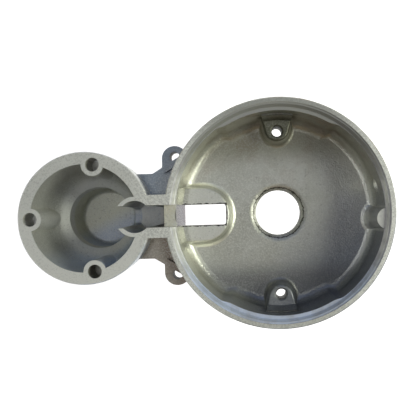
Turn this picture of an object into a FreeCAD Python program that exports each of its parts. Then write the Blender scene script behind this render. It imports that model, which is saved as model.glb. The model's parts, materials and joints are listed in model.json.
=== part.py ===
"""Die cast gear housing: one aluminium casting, open towards +Z.

Frame: millimetres, Z is the axis of the large cup and of its bore, z = 0 is
the back face of the large cup, and -X points to the small cup.
"""
import FreeCAD
import Part
import math
import os

# ---------------------------------------------------------------- overall
RIM_Z = 25.0  # open faces of both cups and of the neck
CUP_R = 45.25  # large cup, outside at the rim
CUP_PITCH = 76.3  # large cup axis to small cup axis
SMALL_R = 25.9  # small cup, outside at its face
DRAFT = math.tan(math.radians(1.2))  # casting draft of the plain walls
EDGE_BREAK = 0.4  # chamfer round both open faces
CORNER_STEPS = 2  # chords in an outside round
WALL_STEPS = 4  # chords in an inside round

# -------------------------------------------------------------- large cup
FLOOR_Z = 4.5
CUP_EDGE = 2.0  # round at the back edge of the cup
LIP_WALL = 1.9  # flat lip round the register
REGISTER_STEP = 0.6  # drop from the lip to the register
REGISTER_R = CUP_R - 2.7
SEAT_Z = RIM_Z - 2.2  # seat of the cover
SEAT_R = CUP_R - 3.7
CAVITY_R = CUP_R - 4.0  # wall just under the cover seat
THICK_TOP = 1.0  # extra wall of the two thicker sectors, at the seat
THICK_FOOT = 2.3  # the same extra wall at the floor
THICK_HALF_ANGLE = 33.0
THICK_RUN = 3.5  # half angle over which a thicker sector fades out
CAVITY_FILLET = 4.2
BORE_R = 9.4
BORE_CHAMFER = 1.0
BORE_DISH_R = 12.5  # shallow dish in the floor round the bore
BORE_DISH = 0.6
HUB_R = 14.5  # boss round the bore at the back
HUB_DROP = 6.0

# -------------------------------------------------------- pads on the floor
PAD_Z = FLOOR_Z + 8.0
PAD_FLARE = 1.1  # growth of a pad from its top to its foot
PAD_FOOT = 2.0  # fillet at the foot
PAD_CREST = 0.8  # round at the top edge
PAD_STEPS = 3  # chords in each of the two
PAD_RAMP = 1.7  # run of the ramp from the top of a pad into the wall
PAD_RAMP_RISE = 5.0
LUG_HOLE_R = 2.1
LUG_SINK = 0.6  # countersink of the hole
LUG_HOLE_Y = CUP_R - 12.3
LUG_END_R = 4.8
LUG_END_Y = LUG_HOLE_Y + 1.1  # centre of the round end
LUG_FLARE = 14.0  # angle of each side of a lug
SLOT_PAD_R = 10.9
SLOT_PAD_INSET = 14.3  # outside of the cup to the centre of the round end
SLOT_PAD_X = SLOT_PAD_INSET - CUP_R
COLUMN_R = 4.2  # half-round column in the wall beside the cross hole
COLUMN_CENTRE = CUP_R - 3.0
COLUMN_ANGLE = -4.5
COLUMN_FLARE = 0.5
COLUMN_FOOT = 4.0
CROSS_HOLE_R = 3.0
CROSS_HOLE_ANGLE = 14.0
CROSS_HOLE_Z = 11.0

# -------------------------------------------------------------- small cup
SMALL_CAVITY_R = 21.1
BOWL_START_R = 20.5
BOWL_CORNER_Z = -3.8
BOWL_ROUND = 14.2
BOWL_EDGE_Z = -8.0
BOWL_EDGE_R = 13.1
POCKET_Z = -32.0
POCKET_R = 12.6
POCKET_FILLET = 2.0
BACK_WALL = 4.0  # floor under the pocket and under the neck channel
BACK_R = 16.8  # outside of the cup at its back
BACK_ROUND = 3.0
SHOULDER_Z = -11.0  # lower end of the rounded shoulder outside
WAIST_Z = -6.5
WAIST_R = 25.0
SHOULDER_ROUND = 13.5
SCREW_PITCH_R = 21.1
SCREW_ANGLES = (80.0, 180.0, 280.0)
SCREW_BOSS_R = 4.4
SCREW_BOSS_FLARE = 0.3
SCREW_HOLE_R = 2.7
SCREW_DEPTH = 14.0

# ------------------------------------------------------------------- neck
CHANNEL_HALF = 4.35
CHANNEL_END_R = CUP_R + 0.6
CHANNEL_Z = POCKET_Z + 0.4
CHANNEL_CORNER = 1.0
NOTCH_Z = RIM_Z - 6.6
NECK_HALF = 8.4
NECK_END_X = 3.4 - CUP_R
NECK_CORNER = 2.0
NECK_EDGE = 1.5
SHAFT_OFFSET = 19.7  # small cup axis to shaft axis
SHAFT_X = SHAFT_OFFSET - CUP_PITCH
SHAFT_R = 6.3
SHAFT_BOSS_R = 7.85
SLOT_HALF = 4.2
SLOT_RIGHT = -21.5
SLOT_CORNER = 1.2

# ---------------------------------------------------------- webs and ears
WEB_REACH = 15.8  # small cup axis to the start of the webs
WEB_LEFT = WEB_REACH - CUP_PITCH
WEB_RIGHT = 4.5 - CUP_R
WEB_HALF = 17.2
WEB_Z = 12.0
WEB_PLATE = 3.5
SKIRT = 3.0  # rim along the outer edge of each web
EAR_X = 3.3 - CUP_R
EAR_HOLE_Y = 24.0
EAR_HOLE_R = 2.05
EAR_END_Y = 28.4
EAR_HALF = 5.2
EAR_CORNER = 5.1
EAR_Z = 9.5
EAR_ROOT = 3.0  # fillet between the ear and the web edge
EAR_FOOT_Z = 8.3
RIB_HALF = 1.2
RIB_START = (EAR_X - 10.0, 15.1)
RIB_END = (EAR_X + 3.2, 23.2)

SOFTNESS = 0.4  # share of its length that each end of an S-shaped edge keeps straight
CLEAR = 1.0  # overrun of a cutting tool past the face it opens
Z_AXIS = FreeCAD.Vector(0, 0, 1)
ORIGIN = FreeCAD.Vector(0, 0, 0)


# --------------------------------------------------------------- builders
def corner_arc(before, point, after, radius):
    """Start, centre, turning axis and turning angle of a rounded corner."""
    back = before - point
    ahead = after - point
    back.normalize()
    ahead.normalize()
    half = back.getAngle(ahead) / 2
    middle = back + ahead
    middle.normalize()
    centre = point + middle * (radius / math.sin(half))
    start = point + back * (radius / math.tan(half))
    return start, centre, ahead.cross(back), math.degrees(math.pi - 2 * half)


def eased(corners, steps):
    """Points of a closed outline, each rounded corner as a run of equal chords."""
    points = []
    for i, (point, radius) in enumerate(corners):
        if radius == 0:
            points.append(point)
            continue
        following = corners[(i + 1) % len(corners)][0]
        start, centre, axis, angle = corner_arc(corners[i - 1][0], point, following, radius)
        for k in range(steps + 1):
            turn = FreeCAD.Rotation(axis, angle * k / steps)
            points.append(centre + turn.multVec(start - centre))
    return points


def turned(profile, steps, centre_x=0.0):
    """Solid turned about a vertical axis from (radius, z, round) points."""
    corners = [(FreeCAD.Vector(r, 0, z), radius) for r, z, radius in profile]
    points = eased(corners, steps)
    solid = Part.Face(Part.makePolygon(points + points[:1])).revolve(ORIGIN, Z_AXIS, 360.0)
    solid.translate(FreeCAD.Vector(centre_x, 0, 0))
    return solid


def rounded_face(corners):
    """Flat face through (point, radius) corners, each rounded by a true arc."""
    starts = []
    ends = []
    arcs = []
    for i, (point, radius) in enumerate(corners):
        if radius == 0:
            starts.append(point)
            ends.append(point)
            arcs.append([])
            continue
        following = corners[(i + 1) % len(corners)][0]
        start, centre, axis, angle = corner_arc(corners[i - 1][0], point, following, radius)
        crown = centre + FreeCAD.Rotation(axis, angle / 2).multVec(start - centre)
        end = centre + FreeCAD.Rotation(axis, angle).multVec(start - centre)
        starts.append(start)
        ends.append(end)
        arcs.append([Part.Arc(start, crown, end).toShape()])
    edges = []
    for i, end in enumerate(ends):
        following = starts[(i + 1) % len(starts)]
        edges = edges + arcs[i] + [Part.makeLine(end, following)]
    return Part.Face(Part.Wire(edges))


def prism(points, z_low, z_high):
    """Upright solid on a plan outline of (x, y, round) points."""
    face = rounded_face([(FreeCAD.Vector(x, y, z_low), radius) for x, y, radius in points])
    return face.extrude(FreeCAD.Vector(0, 0, z_high - z_low))


def cylinder(radius, x, y, z_low, z_high):
    """Upright cylinder."""
    return Part.makeCylinder(radius, z_high - z_low, FreeCAD.Vector(x, y, z_low))


def cone(low_radius, high_radius, x, y, z_low, z_high):
    """Upright cone, the draft form of a round post."""
    base = FreeCAD.Vector(x, y, z_low)
    return Part.makeCone(low_radius, high_radius, z_high - z_low, base)


def box(x_low, x_high, y_low, y_high, z_low, z_high):
    """Box between two corners."""
    size = (x_high - x_low, y_high - y_low, z_high - z_low)
    return Part.makeBox(*size, FreeCAD.Vector(x_low, y_low, z_low))


def mirrored(shape):
    """The same shape on the other side of the XZ plane."""
    return shape.mirror(ORIGIN, FreeCAD.Vector(0, 1, 0))


def fused(first, others):
    """Union without the seams between faces that continue each other."""
    return first.fuse(others).removeSplitter()


# ------------------------------------------------------------ outer solids
def large_cup():
    """Outside of the large cup with the hub at its back."""
    profile = [
        (0, 0, 0),
        (CUP_R - RIM_Z * DRAFT, 0, CUP_EDGE),
        (CUP_R, RIM_Z - EDGE_BREAK, 0),
        (CUP_R - EDGE_BREAK, RIM_Z, 0),
        (0, RIM_Z, 0),
    ]
    hub = cone(HUB_R - HUB_DROP * DRAFT, HUB_R, 0, 0, -HUB_DROP, FLOOR_Z / 2)
    return turned(profile, CORNER_STEPS).fuse(hub)


def small_cup():
    """Outside of the small cup, following the bowl and the pocket inside."""
    profile = [
        (0, POCKET_Z - BACK_WALL, 0),
        (BACK_R, POCKET_Z - BACK_WALL, BACK_ROUND),
        (BOWL_EDGE_R + BACK_WALL, SHOULDER_Z, 0),
        (WAIST_R, WAIST_Z, SHOULDER_ROUND),
        (SMALL_R, RIM_Z - EDGE_BREAK, 0),
        (SMALL_R - EDGE_BREAK, RIM_Z, 0),
        (0, RIM_Z, 0),
    ]
    return turned(profile, CORNER_STEPS, -CUP_PITCH)


def neck():
    """Slab between the cups that carries the channel."""
    low = POCKET_Z - BACK_WALL
    plan = [
        (-CUP_PITCH, -NECK_HALF, 0),
        (NECK_END_X, -NECK_HALF, NECK_CORNER),
        (NECK_END_X, NECK_HALF, NECK_CORNER),
        (-CUP_PITCH, NECK_HALF, 0),
    ]
    slab = prism(plan, low, RIM_Z)
    bottom = []
    for edge in slab.Edges:
        spots = [v.Point for v in edge.Vertexes]
        level = all(abs(spot.z - low) < EDGE_BREAK for spot in spots)
        buried = all(spot.x < EDGE_BREAK - CUP_PITCH for spot in spots)
        if level and not buried:
            bottom.append(edge)
    return slab.makeFillet(NECK_EDGE, bottom)


def webs():
    """Plates beside the neck with a skirt along their outer edges."""
    plate = box(WEB_LEFT, WEB_RIGHT, -WEB_HALF, WEB_HALF, 0, WEB_Z)
    hollow = box(WEB_LEFT, WEB_RIGHT, NECK_HALF, WEB_HALF - SKIRT, -CLEAR, WEB_Z - WEB_PLATE)
    return plate.cut([hollow, mirrored(hollow)])


def ear():
    """Screw ear at the cup wall, its rib, and the low foot between web and rib."""
    root_y = WEB_HALF - SKIRT
    left = EAR_X - EAR_HALF
    right = EAR_X + EAR_HALF
    start = FreeCAD.Vector(RIB_START[0], RIB_START[1], 0)
    end = FreeCAD.Vector(RIB_END[0], RIB_END[1], 0)
    along = end - start
    along.normalize()
    across = FreeCAD.Vector(-along.y, along.x, 0) * RIB_HALF
    rib_corners = [start - across, end - across, end + across, start + across]
    rib = prism([(p.x, p.y, 0) for p in rib_corners], 0, WEB_Z)
    root_left = left - EAR_ROOT - CLEAR
    plan = [
        (root_left, root_y, 0),
        (root_left, WEB_HALF, 0),
        (left, WEB_HALF, EAR_ROOT),
        (left, EAR_END_Y, EAR_CORNER),
        (right, EAR_END_Y, EAR_CORNER),
        (right, root_y, 0),
    ]
    far_end = end + along * EAR_HALF
    far_start = start - along * EAR_HALF
    hollow_plan = [
        (far_start.x, root_y - CLEAR, 0),
        (far_end.x, root_y - CLEAR, 0),
        (far_end.x, far_end.y, 0),
        (far_start.x, far_start.y, 0),
    ]
    hollow = prism(hollow_plan, EAR_FOOT_Z, EAR_Z + CLEAR)
    return prism(plan, 0, EAR_Z).cut(hollow).fuse(rib)


# ---------------------------------------------------------- inner cavities
def wall_radius(z):
    """Radius of the thinner, drafted wall at a height."""
    return CAVITY_R - (SEAT_Z - z) * 2 * DRAFT


def thick_radius(radius, z):
    """Radius in a thicker sector, from the radius beside it at the same height."""
    depth = (SEAT_Z - z) / (SEAT_Z - FLOOR_Z)
    return radius - THICK_TOP - (THICK_FOOT - THICK_TOP) * depth


def rim_point(radius, angle, z):
    """Point on a circle about the cup axis, and the direction of travel there."""
    turn = math.radians(angle)
    point = FreeCAD.Vector(radius * math.cos(turn), radius * math.sin(turn), z)
    return point, FreeCAD.Vector(-math.sin(turn), math.cos(turn), 0)


def arc_edge(radius, first, last, z):
    """Arc about the cup axis between two angles."""
    stops = [rim_point(radius, angle, z)[0] for angle in (first, (first + last) / 2, last)]
    return Part.Arc(*stops).toShape()


def soft_step(first_r, first, last_r, last, z):
    """S-shaped edge from one circle about the cup axis to another."""
    start, leaving = rim_point(first_r, first, z)
    end, arriving = rim_point(last_r, last, z)
    reach = (end - start).Length * SOFTNESS
    curve = Part.BezierCurve()
    curve.setPoles([start, start + leaving * reach, end - arriving * reach, end])
    return curve.toShape()


def cavity_wire(thin_r, z):
    """Plan wire of the large cavity at one height, two sides thin and two thick."""
    thick_r = thick_radius(thin_r, z)
    low = 90 - THICK_HALF_ANGLE - THICK_RUN
    high = 90 - THICK_HALF_ANGLE + THICK_RUN
    edges = []
    for start in (0, 180):
        edges.append(arc_edge(thin_r, start - low, start + low, z))
        edges.append(soft_step(thin_r, start + low, thick_r, start + high, z))
        edges.append(arc_edge(thick_r, start + high, start + 180 - high, z))
        edges.append(soft_step(thick_r, start + 180 - high, thin_r, start + 180 - low, z))
    return Part.Wire(edges)


def u_wire(radius, flare_angle, length, z):
    """Plan wire with a round end towards -Y and two sides opening towards +Y."""
    c = math.cos(math.radians(flare_angle))
    s = math.sin(math.radians(flare_angle))
    right = FreeCAD.Vector(radius * c, -radius * s, z)
    left = FreeCAD.Vector(-radius * c, -radius * s, z)
    far_right = right + FreeCAD.Vector(s, c, 0) * length
    far_left = left + FreeCAD.Vector(-s, c, 0) * length
    end = Part.Arc(left, FreeCAD.Vector(0, -radius, z), right).toShape()
    sides = [Part.makeLine(right, far_right), Part.makeLine(far_right, far_left)]
    return Part.Wire([end] + sides + [Part.makeLine(far_left, left)])


def wall_pad(radius, flare_angle, distance, direction, edge_r):
    """Floor pad with a ramp into the cup wall, its round end at a given distance."""
    reach = radius + PAD_FLARE + 2 * PAD_FOOT
    profile = [
        (reach, FLOOR_Z - CLEAR, 0),
        (reach, FLOOR_Z, 0),
        (radius + PAD_FLARE, FLOOR_Z, PAD_FOOT),
        (radius, PAD_Z, PAD_CREST),
        (0, PAD_Z, 0),
        (0, FLOOR_Z - CLEAR, 0),
    ]
    corners = [(FreeCAD.Vector(r, 0, z), rounding) for r, z, rounding in profile]
    levels = eased(corners, PAD_STEPS)[1:-2]
    wires = [u_wire(level.x, flare_angle, CUP_R - distance, level.z) for level in levels]
    pad = Part.makeLoft(wires, True, True)
    plan = Part.Face(u_wire(radius, flare_angle, CUP_R - distance, PAD_Z - CLEAR))
    plan.translate(FreeCAD.Vector(0, distance, 0))
    pad.translate(FreeCAD.Vector(0, distance, 0))
    top = PAD_Z + PAD_RAMP_RISE
    ramp_profile = [
        (edge_r - PAD_RAMP, PAD_Z - CLEAR, 0),
        (edge_r - PAD_RAMP, PAD_Z, 0),
        (edge_r + PAD_RAMP_RISE * DRAFT, top, 0),
        (CUP_R, top, 0),
        (CUP_R, PAD_Z - CLEAR, 0),
    ]
    ramp = turned(ramp_profile, PAD_STEPS)
    ramp = ramp.common(plan.extrude(FreeCAD.Vector(0, 0, top - PAD_Z + CLEAR)))
    both = pad.fuse(ramp)
    both.rotate(ORIGIN, Z_AXIS, direction - 90)
    return both


def column():
    """Half-round column that stands in the wall."""
    foot_r = COLUMN_R + COLUMN_FLARE
    profile = [
        (0, FLOOR_Z - CLEAR, 0),
        (foot_r + 2 * COLUMN_FOOT, FLOOR_Z - CLEAR, 0),
        (foot_r + 2 * COLUMN_FOOT, FLOOR_Z, 0),
        (foot_r, FLOOR_Z, COLUMN_FOOT),
        (COLUMN_R, SEAT_Z, 0),
        (0, SEAT_Z, 0),
    ]
    post = turned(profile, WALL_STEPS, COLUMN_CENTRE)
    post.rotate(ORIGIN, Z_AXIS, COLUMN_ANGLE)
    return post


def large_cavity():
    """Hollow of the large cup, its pads and column left standing."""
    section = [
        (0, FLOOR_Z, 0),
        (wall_radius(FLOOR_Z), FLOOR_Z, CAVITY_FILLET),
        (CAVITY_R, SEAT_Z, 0),
        (0, SEAT_Z, 0),
    ]
    corners = [(FreeCAD.Vector(r, 0, z), rounding) for r, z, rounding in section]
    levels = eased(corners, WALL_STEPS)[1:-1]
    room = Part.makeLoft([cavity_wire(level.x, level.z) for level in levels], True, True)
    mouth_profile = [
        (0, SEAT_Z, 0),
        (SEAT_R, SEAT_Z, 0),
        (REGISTER_R, RIM_Z - REGISTER_STEP, 0),
        (CUP_R - LIP_WALL, RIM_Z - REGISTER_STEP, 0),
        (CUP_R - LIP_WALL, RIM_Z + CLEAR, 0),
        (0, RIM_Z + CLEAR, 0),
    ]
    lug_edge = thick_radius(wall_radius(PAD_Z), PAD_Z)
    lug = wall_pad(LUG_END_R, LUG_FLARE, LUG_END_Y, 90, lug_edge)
    slot_pad = wall_pad(SLOT_PAD_R, 0, -SLOT_PAD_X, 180, wall_radius(PAD_Z))
    cavity = fused(room, [turned(mouth_profile, WALL_STEPS)])
    return cavity.cut([column(), lug, mirrored(lug), slot_pad]).Solids[0]


def screw_position(angle):
    """Plan position of one cover screw of the small cup."""
    x = -CUP_PITCH + SCREW_PITCH_R * math.cos(math.radians(angle))
    y = SCREW_PITCH_R * math.sin(math.radians(angle))
    return x, y


def small_cavity():
    """Bowl and pocket of the small cup, its screw and shaft bosses left standing."""
    high = RIM_Z + CLEAR
    profile = [
        (0, POCKET_Z, 0),
        (POCKET_R, POCKET_Z, POCKET_FILLET),
        (BOWL_EDGE_R, BOWL_EDGE_Z, 0),
        (BOWL_START_R, BOWL_CORNER_Z, BOWL_ROUND),
        (SMALL_CAVITY_R, high, 0),
        (0, high, 0),
    ]
    posts = [cylinder(SHAFT_BOSS_R, SHAFT_X, 0, POCKET_Z - CLEAR, high)]
    foot_r = SCREW_BOSS_R + SCREW_BOSS_FLARE
    for angle in SCREW_ANGLES:
        x, y = screw_position(angle)
        posts.append(cone(foot_r, SCREW_BOSS_R, x, y, BOWL_EDGE_Z, high))
    return turned(profile, WALL_STEPS, -CUP_PITCH).cut(posts).Solids[0]


def neck_cavity():
    """Channel, shaft bore, notch in the cup wall and slot through the floor."""
    high = RIM_Z + CLEAR
    low_half = CHANNEL_HALF - (RIM_Z - CHANNEL_Z) * DRAFT / 2
    left = -CUP_PITCH + POCKET_R / 2
    section = rounded_face([
        (FreeCAD.Vector(left, -CHANNEL_HALF, high), 0),
        (FreeCAD.Vector(left, -low_half, CHANNEL_Z), CHANNEL_CORNER),
        (FreeCAD.Vector(left, low_half, CHANNEL_Z), CHANNEL_CORNER),
        (FreeCAD.Vector(left, CHANNEL_HALF, high), 0),
    ])
    channel = section.extrude(FreeCAD.Vector(-CHANNEL_END_R - left, 0, 0))
    shaft = cylinder(SHAFT_R, SHAFT_X, 0, CHANNEL_Z, high)
    notch_left = -CHANNEL_END_R - CLEAR
    notch_right = -CAVITY_R + 2 * CLEAR
    notch = box(notch_left, notch_right, -CHANNEL_HALF, CHANNEL_HALF, NOTCH_Z, high)
    slot_plan = [
        (-CUP_R, -SLOT_HALF, 0),
        (SLOT_RIGHT, -SLOT_HALF, SLOT_CORNER),
        (SLOT_RIGHT, SLOT_HALF, SLOT_CORNER),
        (-CUP_R, SLOT_HALF, 0),
    ]
    inside = cylinder(CAVITY_R, 0, 0, -CLEAR, SEAT_Z)
    slot = prism(slot_plan, -CLEAR, NOTCH_Z).common(inside)
    return [channel, shaft, notch, slot]


def holes():
    """Bore, screw holes and cross hole."""
    mouth_r = BORE_R + BORE_CHAMFER
    bore_profile = [
        (0, -HUB_DROP - CLEAR, 0),
        (BORE_R, -HUB_DROP - CLEAR, 0),
        (BORE_R, FLOOR_Z - BORE_DISH - BORE_CHAMFER, 0),
        (mouth_r, FLOOR_Z - BORE_DISH, 0),
        (BORE_DISH_R, FLOOR_Z, 0),
        (BORE_DISH_R, FLOOR_Z + CLEAR, 0),
        (0, FLOOR_Z + CLEAR, 0),
    ]
    tools = [turned(bore_profile, CORNER_STEPS)]
    for side in (-1, 1):
        tools.append(cylinder(LUG_HOLE_R, 0, side * LUG_HOLE_Y, -CLEAR, PAD_Z + CLEAR))
        sink_r = LUG_HOLE_R + LUG_SINK + CLEAR
        sink_z = PAD_Z - LUG_SINK
        tools.append(cone(LUG_HOLE_R, sink_r, 0, side * LUG_HOLE_Y, sink_z, PAD_Z + CLEAR))
        tools.append(cylinder(EAR_HOLE_R, EAR_X, side * EAR_HOLE_Y, -CLEAR, EAR_Z + CLEAR))
    for angle in SCREW_ANGLES:
        x, y = screw_position(angle)
        tools.append(cylinder(SCREW_HOLE_R, x, y, RIM_Z - SCREW_DEPTH, RIM_Z + CLEAR))
    wall = CUP_R - CAVITY_R
    start = FreeCAD.Vector(CAVITY_R - wall, 0, CROSS_HOLE_Z)
    cross = Part.makeCylinder(CROSS_HOLE_R, 3 * wall, start, FreeCAD.Vector(1, 0, 0))
    cross.rotate(ORIGIN, Z_AXIS, CROSS_HOLE_ANGLE)
    tools.append(cross)
    return tools


def housing():
    """The whole casting: outer solids joined, then both cavities and the holes cut."""
    body = fused(large_cup(), [small_cup(), neck(), webs(), ear(), mirrored(ear())])
    for tool in [large_cavity(), small_cavity()] + neck_cavity() + holes():
        body = body.cut(tool)
    return body.Solids[0]


os.makedirs("parts", exist_ok=True)
housing().exportStep("parts/housing.step")
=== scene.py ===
"""Looks of the die cast gear housing: one casting with as-cast and machined finishes.

Meshes, lights and camera are in metres. The finishes work in millimetres, in the frame of the
casting: axis of the large cup at x = y = 0, z up, the small cup toward -x.
"""
import bpy
import bmesh
import json
import math
import numpy as np
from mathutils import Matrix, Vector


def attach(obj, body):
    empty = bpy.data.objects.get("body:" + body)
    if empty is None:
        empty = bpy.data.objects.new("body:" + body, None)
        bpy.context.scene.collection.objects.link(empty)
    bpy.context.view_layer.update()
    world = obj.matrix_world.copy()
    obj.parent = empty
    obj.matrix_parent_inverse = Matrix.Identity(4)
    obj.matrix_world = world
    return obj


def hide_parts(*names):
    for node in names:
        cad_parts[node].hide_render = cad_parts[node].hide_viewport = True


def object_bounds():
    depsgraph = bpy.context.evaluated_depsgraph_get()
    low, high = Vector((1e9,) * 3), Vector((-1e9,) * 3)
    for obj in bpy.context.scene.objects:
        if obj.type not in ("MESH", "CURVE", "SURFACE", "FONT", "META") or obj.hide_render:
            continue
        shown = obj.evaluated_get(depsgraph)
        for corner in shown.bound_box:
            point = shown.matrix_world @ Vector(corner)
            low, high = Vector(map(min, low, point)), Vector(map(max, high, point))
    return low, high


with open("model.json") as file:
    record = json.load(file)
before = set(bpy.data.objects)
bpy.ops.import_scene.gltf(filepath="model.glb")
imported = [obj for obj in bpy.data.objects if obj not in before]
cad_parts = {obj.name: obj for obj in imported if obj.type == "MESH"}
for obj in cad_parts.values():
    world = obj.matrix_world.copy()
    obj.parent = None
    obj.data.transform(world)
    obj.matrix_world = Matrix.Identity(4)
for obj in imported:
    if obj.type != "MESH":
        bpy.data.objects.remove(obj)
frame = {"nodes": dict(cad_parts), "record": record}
cad_low, cad_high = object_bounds()

MM = 0.001

# Places on the casting, in millimetres
CUP_R = cad_high[0] / MM  # outside of the large cup at the rim
CAVITY_R = 41.5  # its inner wall, just under the register
SMALL_R = 25.9  # outside of the small cup
SMALL_X = cad_low[0] / MM + SMALL_R  # axis of the small cup
RIM_Z = 25.0  # open face of both cups
FLOOR_Z = 4.5  # floor of the large cup
PAD_TOP_Z = 12.5  # top of the lugs, the slot pad and the ears
NOTCH_Z = 18.4  # floor of the notch between neck channel and slot
LUG_Y = 28.0  # inner end of the two lugs
BORE_R = 9.4
BORE_MOUTH_R = 10.4
SLOT_HALF = 4.2  # half width of the slot and, about, of the neck channel
SLOT_LEFT = -40.55
SLOT_RIGHT = -21.5
COLUMN_Y = -3.3
CROSS_HOLE_Y = 10.27
CROSS_HOLE_Z = 11.0
SCREW_X = 3.66  # lower cover screw, from the axis of the small cup
SCREW_Y = -20.8
SCREW_R = 2.8


# ------------------------------------------------------------ shader maths
class Signal:
    """A socket that takes part in arithmetic; each operator adds one Math node."""

    def __init__(self, net, socket):
        self.net = net
        self.socket = socket

    def math(self, operation, *others):
        values = {0: self}
        for i, other in enumerate(others):
            values[i + 1] = other
        return self.net.node("ShaderNodeMath", {"operation": operation}, values)

    def __add__(self, other):
        return self.math("ADD", other)

    def __radd__(self, other):
        return self.math("ADD", other)

    def __sub__(self, other):
        return self.math("SUBTRACT", other)

    def __rsub__(self, other):
        return self.net.node("ShaderNodeMath", {"operation": "SUBTRACT"}, {0: other, 1: self})

    def __mul__(self, other):
        return self.math("MULTIPLY", other)

    def __rmul__(self, other):
        return self.math("MULTIPLY", other)

    def size(self):
        return self.math("ABSOLUTE")

    def rise(self, at, over):
        """Smooth rise from 0 to 1, centred at a value and spread over a width."""
        settings = {"interpolation_type": "SMOOTHSTEP"}
        values = {"Value": self, "From Min": at - over / 2, "From Max": at + over / 2}
        return self.net.node("ShaderNodeMapRange", settings, values)

    def fall(self, at, over):
        """Smooth fall from 1 to 0, centred at a value and spread over a width."""
        return 1 - self.rise(at, over)


class Net:
    """Node tree of one material."""

    def __init__(self, name):
        self.material = bpy.data.materials.new(name)
        self.material.use_nodes = True
        self.tree = self.material.node_tree
        self.shader = self.tree.nodes["Principled BSDF"]

    def put(self, socket, value):
        if isinstance(value, Signal):
            self.tree.links.new(value.socket, socket)
        else:
            socket.default_value = value

    def node(self, kind, settings=None, values=None, output=0):
        node = self.tree.nodes.new(kind)
        for key, value in (settings or {}).items():
            setattr(node, key, value)
        for key, value in (values or {}).items():
            self.put(node.inputs[key], value)
        return Signal(self, node.outputs[output])

    def place(self):
        return self.node("ShaderNodeTexCoord", output="Object")

    def axes(self):
        """The three axes of the casting, in millimetres."""
        split = self.node("ShaderNodeSeparateXYZ", values={0: self.place()})
        return [Signal(self, output) * (1 / MM) for output in split.socket.node.outputs]

    def noise(self, scale, detail=2.0, roughness=0.5):
        """Cloud noise with a given number of cells per metre."""
        values = {"Vector": self.place(), "Scale": scale, "Detail": detail, "Roughness": roughness}
        return self.node("ShaderNodeTexNoise", values=values)

    def mix(self, factor, first, second):
        settings = {"data_type": "RGBA"}
        return self.node("ShaderNodeMix", settings, {0: factor, 6: first, 7: second}, output=2)

    def paint(self, tone, patches):
        """Lays patches over a tone in their order, each a pair of strength and tone."""
        for strength, patch_tone in patches:
            tone = self.mix(strength, tone, patch_tone)
        return tone

    def bump(self, height, strength, distance, normal=None):
        values = {"Height": height, "Strength": strength, "Distance": distance}
        if normal is not None:
            values["Normal"] = normal
        return self.node("ShaderNodeBump", values=values)

    def set(self, **values):
        for key, value in values.items():
            self.put(self.shader.inputs[key.replace("_", " ")], value)


def length(first, second):
    return (first * first + second * second).math("SQRT")


class Places:
    """Signals that say where on the casting a point lies, in millimetres."""

    def __init__(self, net):
        self.x, self.y, self.z = net.axes()
        self.along = self.x.size()
        self.aside = self.y.size()
        self.radius = length(self.x, self.y)
        self.from_small = self.x - SMALL_X
        self.small_r = length(self.from_small, self.y)
        self.small = self.x.fall(-51.0, 6.0)  # 1 on the small cup
        self.large = 1 - self.small
        self.inside = self.radius.fall(CAVITY_R, 0.6)  # 1 within the wall of the large cup
        self.under_face = self.z.fall(RIM_Z - 0.45, 0.5)


# ----------------------------------------------------------- as-cast skin
def painted_light_and_brown(net, at, clouds):
    """Broad tones: painted light that makes the small cup paler, painted shade toward +x and -y that is
    bluish as a painted sky reflection in the small cup, brown cloudy patches toward +y.
    """
    shaded_side = (at.x - at.small * SMALL_X) * 0.6 - at.y * 0.8 + (clouds - 0.5) * 20.0
    shade_and_sky_tone = net.mix(at.small, (0.33, 0.345, 0.37, 1), (0.54, 0.61, 0.72, 1))
    brown = at.y.rise(20.0, 30.0) * net.noise(90, 3.0, 0.6).rise(0.57, 0.18) * at.large
    return [
        # painted light: the small cup paler
        (at.small * 0.75, (0.95, 0.95, 0.92, 1)),
        # painted shade toward +x and -y, painted sky reflection in the small cup
        (shaded_side.rise(20.0, 32.0), shade_and_sky_tone),
        (brown * 0.5, (0.42, 0.33, 0.27, 1)),
    ]


def outer_painted_shade(net, at):
    """Painted light and shade on the webs and ears: painted cool reflection toward +y, painted warm
    reflection toward -y, painted shade by the large cup; painted shade on the walls deep in the slot.
    """
    outside = at.radius.rise(CUP_R + 0.2, 0.3) * at.small_r.rise(SMALL_R + 0.15, 0.3)
    outside = outside * at.z.fall(PAD_TOP_Z, 0.6)
    far = at.radius.rise(CUP_R + 4.5, 6.5)
    warm_shade_and_reflection = net.mix(far, (0.25, 0.19, 0.15, 1), (0.50, 0.45, 0.38, 1))
    cool_shade_and_reflection = net.mix(far, (0.30, 0.33, 0.37, 1), (0.35, 0.41, 0.48, 1))
    deep_slot_shade = at.z.fall(-2.0, 2.0) * at.small_r.rise(SMALL_R - 1.2, 0.6)
    deep_slot_shade = deep_slot_shade * at.aside.fall(SLOT_HALF + 0.6, 0.4)
    return [
        # painted reflection and shade on the webs and ears
        (outside * 0.85, net.mix(at.y.rise(0.0, 20.0), warm_shade_and_reflection, cool_shade_and_reflection)),
        # painted shade deep in the slot
        (deep_slot_shade * 0.85, (0.24, 0.22, 0.24, 1)),
    ]


def floor_fold_highlight(at):
    """Narrow line where the floor of the large cup turns up into the wall, lightened as a painted highlight.
    """
    line = at.z.rise(FLOOR_Z + 0.075, 0.09) * at.z.fall(FLOOR_Z + 0.9, 0.8)
    return line * at.radius.fall(CAVITY_R - 0.75, 0.5)


def lug(at, toward):
    """Top of one lug and the wall over it, a place for painted shade; toward is 1 for the lug at +y and -1
    for the other.
    """
    return (at.y * toward).rise(LUG_Y, 2.0) * at.z.rise(PAD_TOP_Z - 2.0, 2.0) * at.along.fall(7.5, 3.0)


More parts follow.
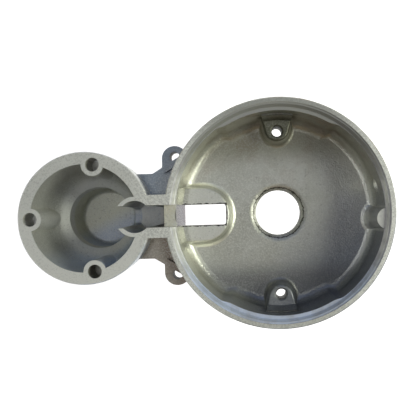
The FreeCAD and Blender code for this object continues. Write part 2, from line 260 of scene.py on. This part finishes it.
def slot_patches(at):
    """Slot pad paler; painted shade on the wall beside it and on the end of the neck as seen in the slot;
    painted light on the notch floor.
    """
    over_pad = at.z.rise(PAD_TOP_Z - 0.5, 0.4)
    pad = over_pad * at.x.fall(SLOT_RIGHT + 4.5, 2.0) * at.radius.fall(CAVITY_R - 3.9, 0.8)
    neck_end = at.x.fall(SLOT_LEFT, 0.3) * at.x.rise(SLOT_LEFT - 2.95, 1.0)
    neck_end = neck_end * at.z.fall(NOTCH_Z - 0.35, 0.3) * at.aside.fall(SLOT_HALF + 0.4, 0.4)
    notch = at.x.fall(SLOT_LEFT + 0.3, 0.5) * at.x.rise(SLOT_LEFT - 6.2, 0.5)
    notch = notch * at.z.rise(NOTCH_Z - 0.3, 0.2) * at.z.fall(NOTCH_Z + 0.5, 0.2)
    notch = notch * at.aside.fall(SLOT_HALF + 0.1, 0.2)
    wall = over_pad * at.z.fall(NOTCH_Z - 0.65, 0.5) * at.radius.rise(CAVITY_R - 4.4, 0.6)
    wall = wall * at.x.fall(-29.0, 2.0) * at.aside.fall(12.0, 4.0) * at.inside
    return [
        (pad * 0.6, (0.95, 0.95, 0.86, 1)),
        # painted shade: the end of the neck as seen in the slot
        (neck_end, (0.10, 0.085, 0.11, 1)),
        # painted light on the notch floor
        (notch, (0.86, 0.84, 0.68, 1)),
        # painted shade on the wall beside the slot pad
        (wall * 0.3, (0.36, 0.36, 0.28, 1)),
    ]


def cup_patches(at):
    """Painted light and shade in the large cup: painted shade at the foot of the wall, at the ends of the
    floor and on the lug at -y, painted light on the column and in the cross hole.
    """
    foot = at.z.rise(FLOOR_Z + 1.0, 1.0) * at.z.fall(FLOOR_Z + 5.25, 2.5)
    foot = foot * at.radius.rise(CAVITY_R - 6.0, 0.6) * at.inside
    foot = foot * at.x.fall(-4.0, 16.0) * at.aside.rise(14.0, 4.0)
    floor = at.z.fall(FLOOR_Z + 1.15, 1.7) * at.large * at.inside
    column = at.x.rise(36.5, 1.0) * (at.y - COLUMN_Y).size().fall(5.0, 1.0) * at.inside
    hole_r = length(at.y - CROSS_HOLE_Y, at.z - CROSS_HOLE_Z)
    cross_hole = hole_r.fall(2.35, 0.3) * at.x.rise(32.5, 5.0) * at.radius.fall(CUP_R - 0.55, 0.4)
    return [
        # painted shade at the foot of the wall
        (foot * 0.25, (0.34, 0.34, 0.28, 1)),
        # painted shade at the +y end of the floor
        (floor * at.y.rise(23.0, 12.0) * 0.75, (0.26, 0.25, 0.19, 1)),
        # painted shade at the -y end of the floor
        (floor * (0 - at.y).rise(23.0, 10.0) * 0.8, (0.20, 0.20, 0.20, 1)),
        # painted shade on the lug at -y
        (lug(at, -1) * at.inside * 0.5, (0.20, 0.21, 0.23, 1)),
        # painted light on the column
        (column * 0.45, (1.0, 1.0, 0.95, 1)),
        # painted light in the cross hole, as if lit through from outside
        (cross_hole, (1.0, 1.0, 1.0, 1)),
    ]


def small_cup_patches(net, at):
    """Painted light and shade in the small cup: painted shade and sky reflection on its wall, painted shade
    in the screw hole at -y, painted light and sky reflection in the pocket.
    """
    wall = at.small_r.rise(16.75, 3.5) * at.small_r.fall(22.75, 0.5) * at.z.rise(-15.0, 10.0)
    wall_sky_reflection = (at.from_small * 0.4 - at.y).rise(10.0, 12.0)
    wall_tone = net.mix(wall_sky_reflection, (0.40, 0.40, 0.34, 1), (0.60, 0.72, 0.92, 1))
    screw_hole = length(at.from_small - SCREW_X, at.y - SCREW_Y).fall(SCREW_R, 0.2)
    pocket = at.z.fall(-16.0, 4.0) * at.small_r.fall(14.75, 0.5)
    pocket_sky_reflection = (at.from_small * 0.5 - at.y).rise(3.0, 10.0)
    pocket_tone = net.mix(pocket_sky_reflection, (0.74, 0.73, 0.58, 1), (0.52, 0.60, 0.76, 1))
    return [
        # painted shade and sky reflection on the wall of the small cup
        (wall * at.small * at.under_face * 0.55, wall_tone),
        # painted shade in the screw hole
        (screw_hole * at.under_face, (0.42, 0.41, 0.36, 1)),
        # painted light and sky reflection in the pocket
        (pocket * at.small * 0.7, pocket_tone),
    ]


def cut_edge_shade(at, ragged):
    """Painted shade, ragged, along the top edges of the slot and the channel, the mouth of the bore and the
    end of the notch.
    """
    beside = (at.aside - SLOT_HALF).math("MAXIMUM", at.x - SLOT_RIGHT)
    slot_edge = (beside - 0.1 + ragged).size().fall(0.25, 0.3)
    near_top = at.z.rise(PAD_TOP_Z - 0.4, 0.4) * at.z.fall(PAD_TOP_Z + 0.7, 0.4)
    near_top = near_top + at.z.rise(RIM_Z - 2.5, 2.0)
    bore_edge = (at.radius - BORE_MOUTH_R + ragged).size().fall(0.2, 0.4)
    edges = (slot_edge * near_top).math("MAXIMUM", bore_edge) * at.x.rise(-52.5, 2.0)
    bow = (at.x - SLOT_LEFT + 0.75 - at.y * at.y * 0.06).size()
    notch_end = bow.fall(0.25, 0.3) * at.aside.fall(SLOT_HALF + 0.2, 0.4)
    notch_end = notch_end * at.z.rise(NOTCH_Z - 2.9, 1.0) * at.z.fall(NOTCH_Z + 0.5, 0.2)
    return edges.math("MAXIMUM", notch_end * 0.8)


def as_cast_metal():
    """Satin die cast skin: sandy grain, soft clouds, brown patches, broad painted light, shade and
    reflections, painted shade at the cut edges.
    """
    net = Net("as_cast_metal")
    at = Places(net)
    clouds = net.noise(60, 3.0, 0.55)
    grain = net.noise(1500, 2.0, 0.7)
    pits = net.noise(800, 3.0, 0.65)
    fold_highlight = floor_fold_highlight(at)
    upper_lug_shade = lug(at, 1) * at.inside * (1 - 0.6 * at.z.rise(PAD_TOP_Z + 2.25, 2.5))
    ledge_shade = at.z.rise(NOTCH_Z - 1.25, 0.3) * at.z.fall(NOTCH_Z - 0.45, 0.3)
    ledge_shade = ledge_shade * at.along.fall(8.5, 3.0) * at.inside
    sand = (0.35 - 0.17 * at.x.rise(0.0, 30.0)) * (1 - 0.6 * at.aside.rise(19.0, 14.0))
    ragged = (pits - 0.5) * 1.6

    tone = net.mix(clouds.rise(0.525, 0.35), (0.56, 0.56, 0.50, 1), (0.66, 0.66, 0.61, 1))
    # broad painted light and shade, brown cloudy patches toward +y
    tone = net.paint(tone, painted_light_and_brown(net, at, clouds))
    # painted shade on the lug at +y and the wall over it
    tone = net.mix(upper_lug_shade, tone, (0.17, 0.17, 0.13, 1))
    # painted reflection and shade outside the cups
    tone = net.paint(tone, outer_painted_shade(net, at))
    # painted highlight along the fold of the floor
    tone = net.mix(fold_highlight * 0.6, tone, (1.0, 1.0, 0.88, 1))
    # painted light and shade at the slot
    tone = net.paint(tone, slot_patches(at))
    # painted light and shade in the large cup
    tone = net.paint(tone, cup_patches(at))
    # painted light, shade and sky reflection in the small cup
    tone = net.paint(tone, small_cup_patches(net, at))
    # painted shade: narrow dark band on the wall near the +y and -y ends, below the notch floor level
    tone = net.mix(ledge_shade * 0.8, tone, (0.10, 0.10, 0.09, 1))
    tone = net.mix(pits.rise(0.65, 0.2) * 0.4, tone, (0.28, 0.27, 0.24, 1))
    tone = net.mix(grain.rise(0.55, 0.2) * sand, tone, (0.95, 0.95, 0.90, 1))
    # painted shade along the cut edges
    tone = net.mix(cut_edge_shade(at, ragged), tone, (0.05, 0.045, 0.04, 1))

    rough = 0.36 + 0.10 * clouds + 0.08 * pits - 0.08 * fold_highlight
    ripple = net.bump(net.noise(160), 0.2, 0.5 * MM)
    fine = net.bump(grain + pits, 0.8, 0.18 * MM, ripple)
    net.set(Base_Color=tone, Metallic=0.85 - 0.3 * at.small, Roughness=rough, Normal=fine)
    return net.material


# ------------------------------------------------------- machined finishes
def ground_metal():
    """Ground open faces: paler, matt, with a sandy speckle, painted shade toward the +y and, weaker, the -y
    end, painted light on the small cup's face toward -y.
    """
    net = Net("ground_metal")
    at = Places(net)
    speckle = net.noise(1500, 3.0, 0.7)
    patches = net.noise(120)
    rim_shade = at.y.rise(34.0, 16.0) * 0.75 + (0 - at.y).rise(34.0, 16.0) * 0.35
    small_face = at.x.fall(-56.0, 8.0)
    tone = net.mix(speckle.rise(0.5, 0.24), (0.72, 0.72, 0.68, 1), (1.0, 1.0, 0.95, 1))
    tone = net.mix(patches.rise(0.65, 0.3) * 0.3, tone, (0.62, 0.63, 0.62, 1))
    # painted shade toward the +y and -y ends of the rim
    tone = net.mix(rim_shade, tone, (0.34, 0.34, 0.32, 1))
    # painted light on the face of the small cup toward -y
    tone = net.mix(small_face * 0.8 * (0 - at.y).rise(-4.0, 16.0), tone, (1.0, 1.0, 0.95, 1))
    tone = net.mix(speckle.rise(0.56, 0.08) * small_face * 0.3, tone, (0.5, 0.5, 0.48, 1))
    fine = net.bump(speckle, 0.9, 0.2 * MM)
    net.set(Base_Color=tone, Metallic=0.0, Roughness=0.6 + 0.1 * speckle, Normal=fine)
    return net.material


def turned_metal():
    """Turned register and seat: smoother, with fine tool rings about the cup axis, a painted sky reflection
    toward -y and painted shade toward +y.
    """
    net = Net("turned_metal")
    at = Places(net)
    rings = (at.radius * 9.0 + net.noise(300, 1.0) * 4.0).math("SINE")
    stain = net.noise(140, 3.0, 0.6)
    # painted sky reflection toward -y
    tone = net.mix((0 - at.y).rise(21.0, 18.0), (0.98, 0.98, 0.93, 1), (0.70, 0.78, 0.95, 1))
    # painted shade toward +y
    tone = net.mix(at.y.rise(18.0, 20.0), tone, (0.42, 0.42, 0.39, 1))
    tone = net.mix(stain.rise(0.55, 0.3) * 0.45, tone, (0.40, 0.39, 0.40, 1))
    fine = net.bump(rings, 0.12, 0.04 * MM)
    net.set(Base_Color=tone, Metallic=0.35, Roughness=0.32 + 0.14 * stain, Normal=fine)
    return net.material


def dark_bore():
    """Walls of the bore and the small cored holes, darkened with painted shade."""
    net = Net("dark_bore")
    shade_clouds = net.noise(900)
    tone = net.mix(shade_clouds, (0.05, 0.048, 0.045, 1), (0.16, 0.155, 0.145, 1))
    net.set(Base_Color=tone, Metallic=0.3, Roughness=0.6)
    return net.material


# ---------------------------------------------------------------- casting
def casting(node):
    """Skin of the casting: the solid's surface merged, flats made whole, edges rounded."""
    merge_gap = 0.002 * MM
    flat_turn = math.radians(0.5)
    sharp_turn = math.radians(33)
    mesh = frame["nodes"][node].data.copy()
    mesh.name = "housing_casting"
    work = bmesh.new()
    work.from_mesh(mesh)
    bmesh.ops.remove_doubles(work, verts=work.verts, dist=merge_gap)
    bmesh.ops.dissolve_limit(work, angle_limit=flat_turn, verts=work.verts, edges=work.edges)
    weight = work.edges.layers.float.new("bevel_weight_edge")
    for edge in work.edges:
        if len(edge.link_faces) == 2 and edge.calc_face_angle() > sharp_turn:
            edge[weight] = 1.0
    for face in work.faces:
        face.smooth = True
    work.to_mesh(mesh)
    work.free()
    piece = bpy.data.objects.new("housing_casting", mesh)
    bpy.context.scene.collection.objects.link(piece)
    bevel = piece.modifiers.new("edges", "BEVEL")
    bevel.limit_method = "WEIGHT"
    bevel.width = 0.35 * MM
    bevel.segments = 2
    bevel.use_clamp_overlap = True
    weigh = piece.modifiers.new("flat_faces", "WEIGHTED_NORMAL")
    weigh.mode = "FACE_AREA"
    weigh.weight = 60
    return piece


def small_holes():
    """Axis place and radius of the lug and ear holes, from the mounts of the frame, in metres."""
    holes = []
    for mount in frame["record"]["mounts"]:
        if mount["kind"] == "bolt_pattern":
            x, y, z = mount["pos_m"]
            half = mount["dims"]["spacing_y_mm"] / 2 * MM
            radius = mount["dims"]["hole_r_mm"] * MM
            holes.append((x, y - half, radius))
            holes.append((x, y + half, radius))
    return holes


def finish_faces(piece, *materials):
    """Cast skin 0, ground open faces 1, turned seat 2, walls of the bore and small holes in painted shade 3.
    """
    mesh = piece.data
    mesh.materials.clear()
    for material in materials:
        mesh.materials.append(material)
    count = len(mesh.polygons)
    normal = np.zeros(count * 3)
    centre = np.zeros(count * 3)
    mesh.polygons.foreach_get("normal", normal)
    mesh.polygons.foreach_get("center", centre)
    up = normal.reshape(-1, 3)[:, 2]
    x, y, z = centre.reshape(-1, 3).T
    radius = np.hypot(x, y)
    face_z = (RIM_Z - 0.1) * MM
    seat_z = (RIM_Z - 2.4) * MM
    lip_r = (CUP_R - 1.7) * MM
    ground = (up > 0.99) & (z > face_z)
    turned = (up > 0.3) & (z > seat_z) & (z < face_z) & (radius < lip_r)
    upright = np.abs(up) < 0.2
    finish = ground + 2 * turned
    for hole_x, hole_y, hole_r in small_holes():
        near = np.hypot(x - hole_x, y - hole_y) < hole_r + 0.05 * MM
        finish[near & upright] = 3
    finish[upright & (radius < (BORE_R + 0.2) * MM)] = 3
    mesh.polygons.foreach_set("material_index", finish.astype(np.int32))


housing = casting("housing")
finish_faces(housing, as_cast_metal(), ground_metal(), turned_metal(), dark_bore())
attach(housing, "root")
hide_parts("housing")


# ------------------------------------------------------------------ stage
def floor_sheet(low_z):
    """Level square sheet below the housing."""
    mesh = bpy.data.meshes.new("floor_sheet")
    side = 1.5
    corners = [(-side, -side, low_z), (side, -side, low_z), (side, side, low_z), (-side, side, low_z)]
    mesh.from_pydata(corners, [], [(0, 1, 2, 3)])
    sheet = bpy.data.objects.new("floor_sheet", mesh)
    bpy.context.scene.collection.objects.link(sheet)
    net = Net("pale_floor")
    net.set(Base_Color=(0.9, 0.9, 0.9, 1), Roughness=0.9, Emission_Color=(1, 1, 1, 1), Emission_Strength=0.9)
    mesh.materials.append(net.material)


def soft_light(name, place, side, power, colour):
    """Square softbox that faces the middle of the housing."""
    light = bpy.data.lights.new(name, "AREA")
    light.shape = "RECTANGLE"
    light.size = side
    light.size_y = side
    light.energy = power
    light.color = colour
    lamp = bpy.data.objects.new(name, light)
    bpy.context.scene.collection.objects.link(lamp)
    lamp.location = place
    middle = (-20 * MM, 0, 0)
    offset = np.array(middle) - np.array(place)
    turn = math.atan2(offset[0], -offset[1])
    lean = math.atan2(math.hypot(offset[0], offset[1]), -offset[2])
    lamp.rotation_euler = (lean, 0, turn + math.pi)


def studio_light():
    """Strong key from +x, small crown light above, weak fills from -x, +y and -y, faint room light."""
    soft_light("key", (0.45, 0.0, 0.30), 0.25, 1.85, (0.97, 1.0, 0.87))
    soft_light("crown", (-0.08, 0.0, 0.45), 0.12, 0.16, (0.95, 0.97, 1.0))
    soft_light("left", (-0.60, 0.0, 0.25), 0.40, 0.30, (0.96, 1.0, 0.93))
    soft_light("sky", (0.0, 0.35, 0.36), 0.20, 0.14, (0.42, 0.56, 1.0))
    soft_light("warm", (0.0, -0.35, 0.36), 0.20, 0.09, (1.0, 0.71, 0.36))
    world = bpy.data.worlds.new("studio")
    world.use_nodes = True
    background = world.node_tree.nodes["Background"]
    background.inputs["Color"].default_value = (0.95, 0.97, 1.0, 1)
    background.inputs["Strength"].default_value = 0.05
    bpy.context.scene.world = world
    bpy.context.scene.view_settings.view_transform = "Standard"


def top_camera():
    """Camera straight above the housing, turned a little about its own axis."""
    data = bpy.data.cameras.new("camera")
    data.sensor_width = 36
    data.lens = 66.87
    data.shift_x = -0.1023
    data.shift_y = 0.0025
    camera = bpy.data.objects.new("camera", data)
    camera.location = (-11.5 * MM, 1.8 * MM, 325 * MM)
    camera.rotation_euler = (0, 0, math.radians(-1.61))
    bpy.context.scene.collection.objects.link(camera)
    bpy.context.scene.camera = camera


floor_sheet(cad_low[2] - 0.5 * MM)
studio_light()
top_camera()
